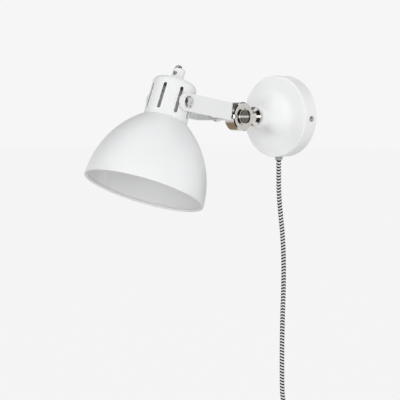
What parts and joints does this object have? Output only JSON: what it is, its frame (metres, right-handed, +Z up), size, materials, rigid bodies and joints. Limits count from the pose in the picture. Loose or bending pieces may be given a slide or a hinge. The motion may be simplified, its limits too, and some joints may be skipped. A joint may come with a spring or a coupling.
{
  "type": "plug-in wall lamp",
  "caption": "Wall lamp with a round trumpet canopy, a hinged elbow, a fork arm and a tilting dome shade on a vented cup, fed by a plug-in textile cord.",
  "frame": {"origin": "centre of the wall canopy, on the wall plane, midway between the two wall screws", "axes": "+Z up, +Y into the wall, so the lamp stands out towards -Y; +X to the right of someone who faces the wall"},
  "size_m": [0.138, 0.305, 0.604],
  "materials": {
    "white_enamel": "smooth satin enamel",
    "bright_chrome": "polished plate",
    "dark_steel": "burnished dark",
    "zinc_steel": "dull zinc plate",
    "clear_grey_plastic": "cloudy moulded plastic",
    "white_plastic": "plain moulded plastic",
    "black_plastic": "fine moulded grain",
    "black_rubber": "dull",
    "brass": "bright drawn",
    "textile_braid": "black and white chevron braid",
    "wire_sheath": "smooth"
  },
  "bodies": {
    "wall_base": {"canopy_cover": "white_enamel", "wall_bracket": "zinc_steel", "cover_screws": "bright_chrome", "cord_gland": "clear_grey_plastic", "gland_nut": "clear_grey_plastic", "cord_tail": "textile_braid", "cord_clamp": "white_plastic", "clamp_screws": "zinc_steel", "terminal_block": "white_plastic", "terminal_screws": "zinc_steel", "mains_wires": "wire_sheath", "base_wires": "wire_sheath", "cord_drop": "textile_braid", "cord_coil": "textile_braid", "coil_tie": "black_rubber", "plug_relief": "black_rubber", "plug_body": "black_plastic", "plug_pins": "brass"},
    "neck": {"knuckle_wall_half": "bright_chrome", "wall_collar": "bright_chrome", "neck_washer": "zinc_steel", "neck_nut": "zinc_steel", "lock_screw": "bright_chrome", "knuckle_screw": "dark_steel", "knuckle_washer": "zinc_steel", "knuckle_nut": "zinc_steel", "knuckle_wires": "wire_sheath"},
    "arm": {"knuckle_arm_half": "bright_chrome", "arm_collar": "bright_chrome", "web_washer": "bright_chrome", "web_nut": "bright_chrome", "fork_arm": "white_enamel", "lamp_lead": "textile_braid"},
    "head": {"lamp_cup": "white_enamel", "pivot_screws": "bright_chrome", "pivot_spacers": "white_plastic", "pivot_nuts": "zinc_steel", "shade": "white_enamel", "lampholder_body": "white_plastic", "lampholder_shell": "brass", "lampholder_contact": "brass", "shade_ring": "black_plastic", "lampholder_cap": "white_plastic", "holder_nipple": "zinc_steel", "nipple_nut": "zinc_steel", "cord_grip": "white_enamel", "grip_screw": "dark_steel", "holder_wires": "wire_sheath"}
  },
  "joints": [
    {"name": "neck_swivel", "type": "hinge", "parent": "wall_base", "child": "neck", "pos_m": [0, 0, 0], "axis": [0, 1, 0], "range_deg": [-90, 90]},
    {"name": "arm_tilt", "type": "hinge", "parent": "neck", "child": "arm", "pos_m": [0, -0.0853, 0], "axis": [-1, 0, 0], "range_deg": [-60, 60], "deforming": ["knuckle_wires"]},
    {"name": "shade_tilt", "type": "hinge", "parent": "arm", "child": "head", "pos_m": [0, -0.19999, 0.01673], "axis": [-1, 0, 0], "range_deg": [-40, 90], "deforming": ["lamp_lead"]}
  ]
}
